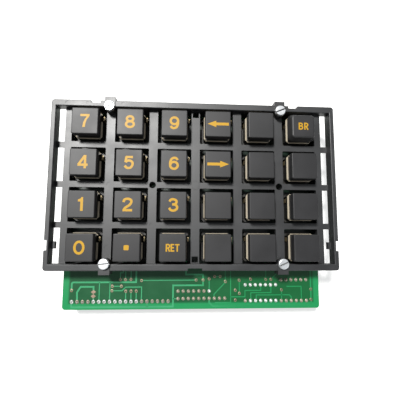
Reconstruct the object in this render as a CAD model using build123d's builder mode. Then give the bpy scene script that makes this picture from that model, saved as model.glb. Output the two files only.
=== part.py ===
"""Numeric keypad module: 24 sprung keys in a moulded lattice frame over a circuit board.

Units are millimetres.  X runs along the rows of keys, Y points away from the connector edge
and Z points up, out of the key caps.  The origin is the centre of the four spacer feet on the
plane that the module stands on, which is also the centre of the key lattice.
"""

import os

from build123d import *

# Driving dimensions --------------------------------------------------------------------------

COLUMN_PITCH = 20.32
ROW_PITCH = 19.05
COLUMNS = 6
ROWS = 4
KEY_OFFSET_Y = -0.45  # the switches sit slightly low in the lattice openings

SPACER_LENGTH = 10.0
BOARD_THICKNESS = 1.6
BOARD_TO_LATTICE = 8.4  # board's top face to the lattice's top face
RIM_RISE = 3.2  # rim above the lattice
CAP_RISE = 7.0  # cap tops above the lattice
CAP_HEIGHT = 3.2
KEY_TRAVEL = 3.0
PRESSED_GAP = 0.4  # cap skirt to housing top with the key fully down

# Levels
BOARD_BOTTOM = SPACER_LENGTH
BOARD_TOP = BOARD_BOTTOM + BOARD_THICKNESS
LATTICE_TOP = BOARD_TOP + BOARD_TO_LATTICE
RIM_TOP = LATTICE_TOP + RIM_RISE
CAP_TOP = LATTICE_TOP + CAP_RISE
CAP_BOTTOM = CAP_TOP - CAP_HEIGHT

# Frame
RIM_LENGTH = 135.2
RIM_WIDTH = 79.2
RIM_CORNER = 1.4
SIDE_WALL = 2.1
END_WALL = 3.0  # wall along the two long edges
LATTICE_THICKNESS = 2.0
FRAME_BOTTOM = LATTICE_TOP - LATTICE_THICKNESS
OPENING_LENGTH = 16.26
OPENING_WIDTH = 16.25
OPENING_CORNER = 0.5
OUTER_BAR = 3.05  # bar between the last key column and the side slots
SLOT_RIB_DROP = 1.0  # ribs between side slots lie below the lattice face
EDGE_ROUND = 0.35
SKIRT_X = 60.4  # middle of the light-tight skirt's walls, under the lattice
SKIRT_Y = 37.7
SKIRT_THICKNESS = 1.4
SKIRT_GAP = 0.5  # skirt to board

# Side slots, worked out from the lattice and the rim
SLOT_INNER = 2.5 * COLUMN_PITCH + OPENING_LENGTH / 2 + OUTER_BAR
SLOT_OUTER = RIM_LENGTH / 2 - SIDE_WALL
SLOT_WIDTH = SLOT_OUTER - SLOT_INNER
SLOT_CENTRE = (SLOT_INNER + SLOT_OUTER) / 2

# Frame details
FRAME_HOLES = [(-COLUMN_PITCH, 0), (2 * COLUMN_PITCH, 0)]
FRAME_HOLE_RADIUS = 1.6
FRAME_POST_RADIUS = 2.7
CENTRE_RING_RADIUS = 2.25
EJECTOR_MARK_RADIUS = 1.15
MARK_DEPTH = 0.15
CENTRE_RING_WIDTH = 0.3
LOW_MARK_Y = -29.5  # on the lattice bar beside the front row
RIM_MARK_RADIUS = 0.8
RIM_MARKS = [(-60.5, 38.1), (-51.0, 38.1), (-34.6, 38.1)]
EJECTOR_MARKS = [
    (-2 * COLUMN_PITCH, 0),
    (-COLUMN_PITCH, -ROW_PITCH),
    (-2 * COLUMN_PITCH, LOW_MARK_Y),
]
WINDOW_LENGTH = 3.0
WINDOW_WIDTH = 2.8
WINDOW_Y = 34.8
EDGE_NOTCH_LENGTH = 4.6
EDGE_NOTCH_DEPTH = 1.3
EDGE_NOTCH_X = 47.4
SIDE_NOTCH_LENGTH = 4.6
SIDE_NOTCH_DEPTH = 1.3
SIDE_NOTCH_Y = -28.3
SIDE_BLOCK_LENGTH = 3.3
SIDE_BLOCK_DEPTH = 1.5
FOOT_NOTCH_LENGTH = 6.6
FOOT_NOTCH_DEPTH = 1.1

# Frame screws, their bosses and the spacers under the board
SCREW_X = 2 * COLUMN_PITCH
SCREW_Y = 36.4
SCREW_PLACES = [(x, y) for x in (-SCREW_X, SCREW_X) for y in (-SCREW_Y, SCREW_Y)]
SCREW_RADIUS = 1.42
SCREW_HEAD_RADIUS = 2.4
SCREW_HEAD_HEIGHT = 1.6
SCREW_SHANK = 16.0
SCREW_SLOT_WIDTH = 0.7
SCREW_SLOT_DEPTH = 0.8
SCREW_SLOT_ANGLES = [6, 38, 24, 22]
BOSS_WIDTH = 4.9
BOSS_RISE = 0.4  # boss face above the rim
BOSS_TOP = RIM_TOP + BOSS_RISE
BOSS_REACH = 41.3  # outer end of the boss, beyond the rim
BOSS_HOLE_RADIUS = 1.55
POST_RADIUS = 2.5
SPACER_ACROSS_FLATS = 5.5
SPACER_SCREW_BORE_RADIUS = 1.45  # upper end, around the frame screw
SPACER_FOOT_BORE_RADIUS = 1.25  # lower end, at the thread's minor diameter
SPACER_BORE_DEPTH = 4.4  # blind from both ends
SPACER_CHAMFER = 0.3

# Circuit board
BOARD_LENGTH = 125.0
BOARD_FRONT = -59.2
BOARD_BACK = 39.0
BOARD_CORNER = 1.5
BOARD_SCREW_HOLE_RADIUS = 1.6
PIN_HOLE_RADIUS = 0.5
PIN_PITCH = 2.54

# Key switches
HOUSING_BASE = 14.0
HOUSING_BASE_HEIGHT = 3.4
HOUSING_LENGTH = 12.4
HOUSING_WIDTH = 12.8
HOUSING_TOP = CAP_BOTTOM - KEY_TRAVEL - PRESSED_GAP
HOUSING_CORNER = 1.1
HOUSING_FLOOR = BOARD_TOP + 1.0
CAVITY_SIDE = 9.0
GUIDE_SIDE = 7.2
STEM_SIDE = 6.8
STEM_CORNER = 0.4
FLANGE_SIDE = 8.4
FLANGE_THICKNESS = 1.0
STOP_GAP = 0.3
FLANGE_BOTTOM = HOUSING_FLOOR + KEY_TRAVEL + STOP_GAP
LIP_BOTTOM = FLANGE_BOTTOM + FLANGE_THICKNESS + STOP_GAP
SPRING_BORE_RADIUS = 2.2
SPRING_BORE_TOP = 22.0
SPRING_RADIUS = 1.5
SPRING_WIRE_RADIUS = 0.22
SPRING_TURNS = 6
SPRING_END_GAP = 0.02

# Contacts beside the housing: the right one stands in an open recess and ends in a bent tab,
# the left one stands under the housing's shoulder
CONTACT_X = {-1: 5.6, 1: 6.45}
CONTACT_Y = 3.6
CONTACT_THICKNESS = 0.3
CONTACT_WIDTH = 2.0
CONTACT_DROP = 0.3  # blade or recess top to the face above it
CONTACT_TAB = 0.75  # how far the right blade's bent top reaches outward
SHOULDER_THICKNESS = 2.0  # housing over the left recess
RECESS_LENGTH = 3.4
RECESS_FLOOR_X = 5.3
TAIL_WIDTH = 0.8
TAIL_BELOW_BOARD = 1.4
SHOULDER_GAP = 0.3
RECESS_TOPS = {-1: HOUSING_TOP - SHOULDER_THICKNESS, 1: HOUSING_TOP}

# Key caps
CAP_LENGTH = 12.1
CAP_WIDTH = 12.4
CAP_TAPER = 2.0
CAP_CORNER = 0.7
CAP_EDGE = 0.4
CAP_WALL = 1.2
CAP_ROOF = 1.4
SOCKET_WALL = 0.9
SOCKET_CLEARANCE = 0.02
ROUND_CAP_SIDE = 13.2
ROUND_CAP_TAPER = 22.0
ROUND_CAP_CORNER = 2.6
ROUND_CAP_EDGE = 0.9

# Parts under the board
HEADER_PINS = 19
HEADER_PLACE = (-35.3, -55.5)
HEADER_BODY = 2.5
PIN_SIDE = 0.64
HEADER_PIN_BOTTOM = 1.5
PIN_ABOVE_BOARD = 0.9
CHIP_PLACE = (33.0, -51.7)
CHIP_LEGS_PER_SIDE = 7
CHIP_ROW_SPACING = 7.62
CHIP_LENGTH = 18.7
CHIP_WIDTH = 6.4
CHIP_HEIGHT = 3.4
CHIP_STANDOFF = 0.6
LEG_WIDTH = 0.5
LEG_THICKNESS = 0.26
NETWORKS = [(-0.1, -50.8, 7), (3.7, -54.3, 10)]  # x, y and number of pins
NETWORK_THICKNESS = 2.3
NETWORK_END_GAP = 0.9  # body short of the full pin pitch at its ends
NETWORK_HEIGHT = 5.0
NETWORK_STANDOFF = 0.8
RESISTORS = 6
RESISTOR_PLACE = (49.7, -50.55)
RESISTOR_SPAN = 10.16
RESISTOR_LENGTH = 5.6
RESISTOR_RADIUS = 0.9
RESISTOR_DROP = 1.9  # resistor axis below the board
LEAD_RADIUS = 0.3
LEAD_BEND = 1.0

KEY_NAMES = (
    ("seven", "eight", "nine", "left_arrow", "blank_1", "break"),
    ("four", "five", "six", "right_arrow", "blank_2", "blank_3"),
    ("one", "two", "three", "blank_4", "blank_5", "blank_6"),
    ("zero", "point", "return", "blank_7", "blank_8", "blank_9"),
)
ROUND_CAPS = ("break",)


def key_centre(column, row):
    """Centre of one key, with column 0 on the left and row 0 at the back."""
    x = (column - (COLUMNS - 1) / 2) * COLUMN_PITCH
    y = ((ROWS - 1) / 2 - row) * ROW_PITCH + KEY_OFFSET_Y
    return x, y


KEY_CENTRES = [key_centre(column, row) for row in range(ROWS) for column in range(COLUMNS)]


def pin_row(count, centre_x, y):
    """Places of a row of pins at the standard pitch, centred on centre_x."""
    first = centre_x - (count - 1) / 2 * PIN_PITCH
    return [(first + number * PIN_PITCH, y) for number in range(count)]


HEADER_HOLES = pin_row(HEADER_PINS, *HEADER_PLACE)
CHIP_HOLES = [
    place
    for side in (-1, 1)
    for place in pin_row(CHIP_LEGS_PER_SIDE, CHIP_PLACE[0], CHIP_PLACE[1] + side * CHIP_ROW_SPACING / 2)
]
NETWORK_HOLES = [place for x, y, count in NETWORKS for place in pin_row(count, x, y)]
RESISTOR_HOLES = [
    place
    for side in (-1, 1)
    for place in pin_row(RESISTORS, RESISTOR_PLACE[0], RESISTOR_PLACE[1] + side * RESISTOR_SPAN / 2)
]
CONTACT_HOLES = [
    (x + side * (CONTACT_X[side] + CONTACT_THICKNESS / 2), y + CONTACT_Y) for x, y in KEY_CENTRES for side in (-1, 1)
]


def at_level(level):
    """Horizontal sketch plane at a height above the feet."""
    return Plane.XY.offset(level)


# Key frame -----------------------------------------------------------------------------------


def make_key_frame():
    """Moulded lattice with its raised rim, side slots, skirt, screw bosses and posts."""
    inner_length = RIM_LENGTH - 2 * SIDE_WALL
    inner_width = RIM_WIDTH - 2 * END_WALL
    with BuildPart() as frame:
        with BuildSketch(at_level(FRAME_BOTTOM)):
            RectangleRounded(RIM_LENGTH, RIM_WIDTH, RIM_CORNER)
        extrude(amount=RIM_TOP - FRAME_BOTTOM)
        with BuildSketch(at_level(LATTICE_TOP)):
            Rectangle(inner_length, inner_width)
        extrude(amount=RIM_RISE, mode=Mode.SUBTRACT)
        fillet(frame.faces().sort_by(Axis.Z)[-1].edges(), EDGE_ROUND)

        # Key openings and the side slots beside them
        with BuildSketch(at_level(FRAME_BOTTOM)):
            with GridLocations(COLUMN_PITCH, ROW_PITCH, COLUMNS, ROWS):
                RectangleRounded(OPENING_LENGTH, OPENING_WIDTH, OPENING_CORNER)
            with GridLocations(2 * SLOT_CENTRE, ROW_PITCH, 2, ROWS):
                Rectangle(SLOT_WIDTH, OPENING_WIDTH)
        extrude(amount=LATTICE_THICKNESS, mode=Mode.SUBTRACT)
        with BuildSketch(at_level(LATTICE_TOP - SLOT_RIB_DROP)):
            with GridLocations(2 * SLOT_CENTRE, 0, 2, 1):
                Rectangle(SLOT_WIDTH, inner_width)
        extrude(amount=SLOT_RIB_DROP, mode=Mode.SUBTRACT)

        # Notches in the rim and the blocks behind the side notches
        side_notch_x = RIM_LENGTH / 2
        foot_notch_y = -RIM_WIDTH / 2
        with BuildSketch(at_level(FRAME_BOTTOM)):
            with Locations((-EDGE_NOTCH_X, RIM_WIDTH / 2), (EDGE_NOTCH_X, RIM_WIDTH / 2)):
                Rectangle(EDGE_NOTCH_LENGTH, 2 * EDGE_NOTCH_DEPTH)
            with Locations((-side_notch_x, SIDE_NOTCH_Y), (side_notch_x, SIDE_NOTCH_Y)):
                Rectangle(2 * SIDE_NOTCH_DEPTH, SIDE_NOTCH_LENGTH)
            with Locations((0, foot_notch_y)):
                Rectangle(FOOT_NOTCH_LENGTH, 2 * FOOT_NOTCH_DEPTH)
        extrude(amount=RIM_TOP - FRAME_BOTTOM, mode=Mode.SUBTRACT)
        block_x = SLOT_OUTER - SIDE_BLOCK_DEPTH / 2
        with BuildSketch(at_level(FRAME_BOTTOM)):
            with Locations((-block_x, SIDE_NOTCH_Y), (block_x, SIDE_NOTCH_Y)):
                Rectangle(SIDE_BLOCK_DEPTH, SIDE_BLOCK_LENGTH)
        extrude(amount=LATTICE_THICKNESS)

        # Windows in the middle bar, and shallow marks in the lattice face
        with BuildSketch(at_level(FRAME_BOTTOM)):
            with Locations((0, WINDOW_Y), (0, -WINDOW_Y)):
                Rectangle(WINDOW_LENGTH, WINDOW_WIDTH)
        extrude(amount=LATTICE_THICKNESS, mode=Mode.SUBTRACT)
        with BuildSketch(at_level(LATTICE_TOP - MARK_DEPTH)):
            with Locations(*EJECTOR_MARKS):
                Circle(EJECTOR_MARK_RADIUS)
            Circle(CENTRE_RING_RADIUS)
            Circle(CENTRE_RING_RADIUS - CENTRE_RING_WIDTH, mode=Mode.SUBTRACT)
        extrude(amount=MARK_DEPTH, mode=Mode.SUBTRACT)
        with BuildSketch(at_level(RIM_TOP - MARK_DEPTH)):
            with Locations(*RIM_MARKS):
                Circle(RIM_MARK_RADIUS)
        extrude(amount=MARK_DEPTH, mode=Mode.SUBTRACT)

        # Skirt under the lattice, around all the switches
        skirt_bottom = BOARD_TOP + SKIRT_GAP
        with BuildSketch(at_level(skirt_bottom)):
            Rectangle(2 * SKIRT_X + SKIRT_THICKNESS, 2 * SKIRT_Y + SKIRT_THICKNESS)
            Rectangle(2 * SKIRT_X - SKIRT_THICKNESS, 2 * SKIRT_Y - SKIRT_THICKNESS, mode=Mode.SUBTRACT)
        extrude(amount=FRAME_BOTTOM - skirt_bottom)

        # Screw bosses reach beyond the rim, with posts down to the board
        boss_end = BOSS_REACH - SCREW_Y
        with BuildSketch(at_level(FRAME_BOTTOM)):
            with Locations(*SCREW_PLACES):
                Circle(BOSS_WIDTH / 2)
            for x, y in SCREW_PLACES:
                outward = 1 if y > 0 else -1
                with Locations((x, y + outward * boss_end / 2)):
                    Rectangle(BOSS_WIDTH, boss_end)
        extrude(amount=BOSS_TOP - FRAME_BOTTOM)
        with BuildSketch(at_level(BOARD_TOP)):
            with Locations(*SCREW_PLACES):
                Circle(POST_RADIUS)
            with Locations(*FRAME_HOLES):
                Circle(FRAME_POST_RADIUS)
        extrude(amount=FRAME_BOTTOM - BOARD_TOP)
        with BuildSketch(at_level(BOARD_TOP)):
            with Locations(*SCREW_PLACES):
                Circle(BOSS_HOLE_RADIUS)
            with Locations(*FRAME_HOLES):
                Circle(FRAME_HOLE_RADIUS)
        extrude(amount=BOSS_TOP - BOARD_TOP, mode=Mode.SUBTRACT)
    return frame.part


# Board and its fasteners ---------------------------------------------------------------------


def make_circuit_board():
    """Glass-fibre board with its screw holes and plated pin holes."""
    board_width = BOARD_BACK - BOARD_FRONT
    board_middle = (BOARD_BACK + BOARD_FRONT) / 2
    pin_holes = HEADER_HOLES + CHIP_HOLES + NETWORK_HOLES + RESISTOR_HOLES + CONTACT_HOLES
    with BuildPart() as board:
        with BuildSketch(at_level(BOARD_BOTTOM)):
            with Locations((0, board_middle)):
                RectangleRounded(BOARD_LENGTH, board_width, BOARD_CORNER)
            with Locations(*SCREW_PLACES):
                Circle(BOARD_SCREW_HOLE_RADIUS, mode=Mode.SUBTRACT)
            with Locations(*FRAME_HOLES):
                Circle(FRAME_HOLE_RADIUS, mode=Mode.SUBTRACT)
            with Locations(*pin_holes):
                Circle(PIN_HOLE_RADIUS, mode=Mode.SUBTRACT)
        extrude(amount=BOARD_THICKNESS)
    return board.part


def make_frame_screws():
    """Four slotted cheese-head screws through the frame, the board and into the spacers."""
    with BuildPart() as screws:
        with BuildSketch(at_level(BOSS_TOP)):
            with Locations(*SCREW_PLACES):
                Circle(SCREW_HEAD_RADIUS)
        extrude(amount=SCREW_HEAD_HEIGHT)
        fillet(screws.faces().filter_by(Axis.Z).group_by(Axis.Z)[-1].edges(), EDGE_ROUND)
        with BuildSketch(at_level(BOSS_TOP - SCREW_SHANK)):
            with Locations(*SCREW_PLACES):
                Circle(SCREW_RADIUS)
        extrude(amount=SCREW_SHANK)
        with BuildSketch(at_level(BOSS_TOP + SCREW_HEAD_HEIGHT - SCREW_SLOT_DEPTH)):
            for place, angle in zip(SCREW_PLACES, SCREW_SLOT_ANGLES):
                with Locations(place):
                    Rectangle(3 * SCREW_HEAD_RADIUS, SCREW_SLOT_WIDTH, rotation=angle)
        extrude(amount=SCREW_SLOT_DEPTH, mode=Mode.SUBTRACT)
    return screws.part


def make_board_spacers():
    """Four hexagonal spacers, threaded blind at both ends, that stand the board off its support."""
    with BuildPart() as spacers:
        with BuildSketch(at_level(0)):
            with Locations(*SCREW_PLACES):
                RegularPolygon(SPACER_ACROSS_FLATS / 2, 6, major_radius=False)
        extrude(amount=SPACER_LENGTH)
        end_faces = spacers.faces().filter_by(Axis.Z)
        chamfer(end_faces.edges(), SPACER_CHAMFER)
        upper_bottom = SPACER_LENGTH - SPACER_BORE_DEPTH
        for bottom, radius in ((0, SPACER_FOOT_BORE_RADIUS), (upper_bottom, SPACER_SCREW_BORE_RADIUS)):
            with BuildSketch(at_level(bottom)):
                with Locations(*SCREW_PLACES):
                    Circle(radius)
            extrude(amount=SPACER_BORE_DEPTH, mode=Mode.SUBTRACT)
    return spacers.part


# Key switches --------------------------------------------------------------------------------


def make_housing():
    """One switch housing: a stepped block with a guide for the plunger and a recess on each side."""
    with BuildPart() as housing:
        with BuildSketch(at_level(BOARD_TOP)):
            Rectangle(HOUSING_BASE, HOUSING_BASE)
        extrude(amount=HOUSING_BASE_HEIGHT)
        with BuildSketch(at_level(BOARD_TOP)):
            Rectangle(HOUSING_LENGTH, HOUSING_WIDTH)
        extrude(amount=HOUSING_TOP - BOARD_TOP)
        chamfer(housing.edges().filter_by(Axis.Z), HOUSING_CORNER)
        chamfer(housing.faces().sort_by(Axis.Z)[-1].edges(), EDGE_ROUND)
        with BuildSketch(at_level(HOUSING_FLOOR)):
            Rectangle(CAVITY_SIDE, CAVITY_SIDE)
        extrude(amount=LIP_BOTTOM - HOUSING_FLOOR, mode=Mode.SUBTRACT)
        with BuildSketch(at_level(LIP_BOTTOM)):
            RectangleRounded(GUIDE_SIDE, GUIDE_SIDE, STEM_CORNER)
        extrude(amount=HOUSING_TOP - LIP_BOTTOM, mode=Mode.SUBTRACT)
        recess_depth = HOUSING_BASE / 2 - RECESS_FLOOR_X
        recess_x = RECESS_FLOOR_X + recess_depth / 2
        for side, top in RECESS_TOPS.items():
            with BuildSketch(at_level(BOARD_TOP)):
                with Locations((side * recess_x, CONTACT_Y)):
                    Rectangle(recess_depth, RECESS_LENGTH)
            extrude(amount=top - BOARD_TOP, mode=Mode.SUBTRACT)
    return housing.part


def make_spring():
    """One compression spring between the housing floor and the plunger's bore."""
    start = HOUSING_FLOOR + SPRING_WIRE_RADIUS + SPRING_END_GAP
    height = SPRING_BORE_TOP - SPRING_WIRE_RADIUS - SPRING_END_GAP - start
    with BuildPart() as spring:
        with BuildLine(at_level(start)) as coil:
            Helix(pitch=height / SPRING_TURNS, height=height, radius=SPRING_RADIUS)
        with BuildSketch(Plane(origin=coil.line @ 0, z_dir=coil.line % 0)):
            Circle(SPRING_WIRE_RADIUS)
        sweep(path=coil.line, is_frenet=True)
    return spring.part


def make_contact(side):
    """One contact blade in a housing recess, with its solder tail through the board."""
    foot = BOARD_TOP + SHOULDER_GAP
    top = RECESS_TOPS[side] - CONTACT_DROP
    tail_bottom = BOARD_BOTTOM - TAIL_BELOW_BOARD
    blade_x = side * (CONTACT_X[side] + CONTACT_THICKNESS / 2)
    with BuildPart() as contact:
        with BuildSketch(at_level(foot)):
            with Locations((blade_x, CONTACT_Y)):
                Rectangle(CONTACT_THICKNESS, CONTACT_WIDTH)
        extrude(amount=top - foot)
        with BuildSketch(at_level(tail_bottom)):
            with Locations((blade_x, CONTACT_Y)):
                Rectangle(CONTACT_THICKNESS, TAIL_WIDTH)
        extrude(amount=foot - tail_bottom)
        if side > 0:
            with BuildSketch(at_level(top - CONTACT_THICKNESS)):
                with Locations((CONTACT_X[side] + CONTACT_TAB / 2, CONTACT_Y)):
                    Rectangle(CONTACT_TAB, CONTACT_WIDTH)
            extrude(amount=CONTACT_THICKNESS)
    return contact.part


def repeat_at_keys(pieces):
    """Copies of the given pieces at every key, as separate solids of one part."""
    with BuildPart() as group:
        with Locations(*KEY_CENTRES):
            for piece in pieces:
                add(piece)
    return group.part


def make_plunger(x, y):
    """Square plunger with its retaining flange and the bore that holds the spring."""
    centre = Plane(origin=(x, y, 0))
    with BuildPart() as plunger:
        with BuildSketch(centre.offset(FLANGE_BOTTOM)):
            Rectangle(FLANGE_SIDE, FLANGE_SIDE)
        extrude(amount=FLANGE_THICKNESS)
        with BuildSketch(centre.offset(FLANGE_BOTTOM)):
            RectangleRounded(STEM_SIDE, STEM_SIDE, STEM_CORNER)
        extrude(amount=CAP_TOP - CAP_ROOF - FLANGE_BOTTOM)
        with BuildSketch(centre.offset(FLANGE_BOTTOM)):
            Circle(SPRING_BORE_RADIUS)
        extrude(amount=SPRING_BORE_TOP - FLANGE_BOTTOM, mode=Mode.SUBTRACT)
    return plunger.part


def make_cap(x, y, length, width, taper, corner, edge):
    """Hollow key cap with a socket for the plunger."""
    centre = Plane(origin=(x, y, 0))
    skirt_depth = CAP_HEIGHT - CAP_ROOF
    socket_side = STEM_SIDE + 2 * SOCKET_CLEARANCE
    with BuildPart() as cap:
        with BuildSketch(centre.offset(CAP_BOTTOM)):
            RectangleRounded(length, width, corner)
        extrude(amount=CAP_HEIGHT, taper=taper)
        fillet(cap.faces().sort_by(Axis.Z)[-1].edges(), edge)
        with BuildSketch(centre.offset(CAP_BOTTOM)):
            Rectangle(CAP_LENGTH - 2 * CAP_WALL, CAP_WIDTH - 2 * CAP_WALL)
            Rectangle(socket_side + 2 * SOCKET_WALL, socket_side + 2 * SOCKET_WALL, mode=Mode.SUBTRACT)
            RectangleRounded(socket_side, socket_side, STEM_CORNER)
        extrude(amount=skirt_depth, mode=Mode.SUBTRACT)
    return cap.part


# Parts under the board -----------------------------------------------------------------------


def make_connector_body():
    """Plastic strip of the connector under the front edge of the board."""
    with BuildPart() as body:
        with BuildSketch(at_level(BOARD_BOTTOM - HEADER_BODY)):
            with Locations(*HEADER_HOLES):
                Rectangle(PIN_PITCH, HEADER_BODY)
        extrude(amount=HEADER_BODY)
        chamfer(body.edges().filter_by(Axis.Z), EDGE_ROUND)
        with BuildSketch(at_level(BOARD_BOTTOM - HEADER_BODY)):
            with Locations(*HEADER_HOLES):
                Rectangle(PIN_SIDE, PIN_SIDE)
        extrude(amount=HEADER_BODY, mode=Mode.SUBTRACT)
    return body.part


def make_connector_pins():
    """Square connector pins, pressed through the strip and the board."""
    pin_top = BOARD_TOP + PIN_ABOVE_BOARD
    with BuildPart() as pins:
        with BuildSketch(at_level(HEADER_PIN_BOTTOM)):
            with Locations(*HEADER_HOLES):
                Rectangle(PIN_SIDE, PIN_SIDE)
        extrude(amount=pin_top - HEADER_PIN_BOTTOM)
        chamfer(pins.faces().filter_by(Axis.Z).edges(), PIN_SIDE / 4)
    return pins.part


def make_logic_chip():
    """Dual in-line chip hanging under the board, its legs up through the pin holes."""
    body_top = BOARD_BOTTOM - CHIP_STANDOFF
    seam = body_top - CHIP_HEIGHT / 2
    leg_top = BOARD_TOP + PIN_ABOVE_BOARD / 2
    inner_y = CHIP_WIDTH / 2 - LEG_THICKNESS
    leg_reach = CHIP_ROW_SPACING / 2 - inner_y
    with BuildPart() as chip:
        with BuildSketch(at_level(body_top - CHIP_HEIGHT)):
            with Locations(CHIP_PLACE):
                Rectangle(CHIP_LENGTH, CHIP_WIDTH)
        extrude(amount=CHIP_HEIGHT)
        chamfer(chip.faces().filter_by(Axis.Z).edges(), EDGE_ROUND)
        for side in (-1, 1):
            shoulder_y = CHIP_PLACE[1] + side * (inner_y + leg_reach / 2)
            with BuildSketch(at_level(seam)):
                with Locations(*pin_row(CHIP_LEGS_PER_SIDE, CHIP_PLACE[0], shoulder_y)):
                    Rectangle(LEG_WIDTH, leg_reach)
            extrude(amount=LEG_THICKNESS)
        with BuildSketch(at_level(seam)):
            with Locations(*CHIP_HOLES):
                Rectangle(LEG_WIDTH, LEG_THICKNESS)
        extrude(amount=leg_top - seam)
    return chip.part


def make_resistor_networks():
    """Two single in-line resistor networks under the board."""
    body_top = BOARD_BOTTOM - NETWORK_STANDOFF
    pin_bottom = body_top - NETWORK_STANDOFF
    with BuildPart() as networks:
        for x, y, count in NETWORKS:
            with BuildSketch(at_level(body_top - NETWORK_HEIGHT)):
                with Locations((x, y)):
                    Rectangle(count * PIN_PITCH - NETWORK_END_GAP, NETWORK_THICKNESS)
            extrude(amount=NETWORK_HEIGHT)
        fillet(networks.edges().filter_by(Axis.Z), EDGE_ROUND)
        with BuildSketch(at_level(pin_bottom)):
            with Locations(*NETWORK_HOLES):
                Rectangle(LEG_WIDTH, LEG_THICKNESS)
        extrude(amount=BOARD_TOP + PIN_ABOVE_BOARD / 2 - pin_bottom)
    return networks.part


def make_series_resistors():
    """Six axial resistors lying side by side under the board."""
    axis_level = BOARD_BOTTOM - RESISTOR_DROP
    lead_top = BOARD_TOP + PIN_ABOVE_BOARD / 2
    half_span = RESISTOR_SPAN / 2
    half_body = RESISTOR_LENGTH / 2
    with BuildPart() as resistors:
        for x, y in pin_row(RESISTORS, *RESISTOR_PLACE):
            front = Plane(origin=(x, y - half_body, axis_level), x_dir=(1, 0, 0), z_dir=(0, 1, 0))
            with BuildSketch(front):
                Circle(RESISTOR_RADIUS)
            extrude(amount=RESISTOR_LENGTH)
        fillet(resistors.edges().filter_by(GeomType.CIRCLE), EDGE_ROUND)
        for x, y in pin_row(RESISTORS, *RESISTOR_PLACE):
            with BuildLine() as lead:
                FilletPolyline(
                    (x, y - half_span, lead_top),
                    (x, y - half_span, axis_level),
                    (x, y + half_span, axis_level),
                    (x, y + half_span, lead_top),
                    radius=LEAD_BEND,
                )
            with BuildSketch(at_level(lead_top)):
                with Locations((x, y - half_span)):
                    Circle(LEAD_RADIUS)
            sweep(path=lead.line)
    return resistors.part


# Build and export ----------------------------------------------------------------------------


def save(part, name):
    """Label a finished piece and write it to its own file."""
    part.label = name
    export_step(part, f"parts/{name}.step")


os.makedirs("parts", exist_ok=True)
save(make_key_frame(), "key_frame")
save(make_circuit_board(), "circuit_board")
save(make_frame_screws(), "frame_screws")
save(make_board_spacers(), "board_spacers")
save(repeat_at_keys([make_housing()]), "switch_housings")
save(repeat_at_keys([make_spring()]), "return_springs")
save(repeat_at_keys([make_contact(-1), make_contact(1)]), "switch_contacts")
save(make_connector_body(), "connector_body")
save(make_connector_pins(), "connector_pins")
save(make_logic_chip(), "logic_chip")
save(make_resistor_networks(), "resistor_networks")
save(make_series_resistors(), "series_resistors")

for row, names in enumerate(KEY_NAMES):
    for column, key_name in enumerate(names):
        centre_x, centre_y = key_centre(column, row)
        save(make_plunger(centre_x, centre_y), f"plunger_{key_name}")
        if key_name in ROUND_CAPS:
            cap_shape = (ROUND_CAP_SIDE, ROUND_CAP_SIDE, ROUND_CAP_TAPER, ROUND_CAP_CORNER, ROUND_CAP_EDGE)
        else:
            cap_shape = (CAP_LENGTH, CAP_WIDTH, CAP_TAPER, CAP_CORNER, CAP_EDGE)
        save(make_cap(centre_x, centre_y, *cap_shape), f"cap_{key_name}")
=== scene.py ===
"""Looks of the numeric keypad module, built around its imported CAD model.

Lengths are given in millimetres times MM, so everything is in metres in the CAD model's frame:
X along the rows of keys, Y away from the connector edge, Z up out of the key caps.
"""

import math

import bmesh
import bpy
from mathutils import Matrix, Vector


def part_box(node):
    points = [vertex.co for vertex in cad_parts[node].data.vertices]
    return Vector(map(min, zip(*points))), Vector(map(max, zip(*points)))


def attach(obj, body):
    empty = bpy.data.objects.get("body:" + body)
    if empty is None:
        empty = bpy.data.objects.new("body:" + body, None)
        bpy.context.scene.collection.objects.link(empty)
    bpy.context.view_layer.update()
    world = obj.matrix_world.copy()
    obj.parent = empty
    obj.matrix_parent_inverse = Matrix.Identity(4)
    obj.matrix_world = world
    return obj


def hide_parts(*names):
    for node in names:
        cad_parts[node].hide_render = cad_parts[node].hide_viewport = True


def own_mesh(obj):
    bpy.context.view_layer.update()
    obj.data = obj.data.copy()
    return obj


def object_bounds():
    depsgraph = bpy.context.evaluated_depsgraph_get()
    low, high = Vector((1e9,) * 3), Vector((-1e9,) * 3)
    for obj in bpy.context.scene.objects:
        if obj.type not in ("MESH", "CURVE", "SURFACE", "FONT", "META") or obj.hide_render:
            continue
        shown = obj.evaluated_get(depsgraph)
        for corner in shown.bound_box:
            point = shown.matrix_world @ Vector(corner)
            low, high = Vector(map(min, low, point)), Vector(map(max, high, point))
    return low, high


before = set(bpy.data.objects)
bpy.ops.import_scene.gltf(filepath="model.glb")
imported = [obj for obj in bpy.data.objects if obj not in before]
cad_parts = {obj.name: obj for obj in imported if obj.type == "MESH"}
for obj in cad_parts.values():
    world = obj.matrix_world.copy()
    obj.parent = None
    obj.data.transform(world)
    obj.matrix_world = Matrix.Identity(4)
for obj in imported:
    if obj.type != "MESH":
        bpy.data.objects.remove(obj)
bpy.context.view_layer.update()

MM = 0.001

KEY_NAMES = (
    ("seven", "eight", "nine", "left_arrow", "blank_1", "break"),
    ("four", "five", "six", "right_arrow", "blank_2", "blank_3"),
    ("one", "two", "three", "blank_4", "blank_5", "blank_6"),
    ("zero", "point", "return", "blank_7", "blank_8", "blank_9"),
)
KEYS = [name for names in KEY_NAMES for name in names]
LEGENDS = {
    "seven": "7", "eight": "8", "nine": "9",
    "four": "4", "five": "5", "six": "6",
    "one": "1", "two": "2", "three": "3",
    "zero": "0", "return": "RET", "break": "BR",
}

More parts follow.
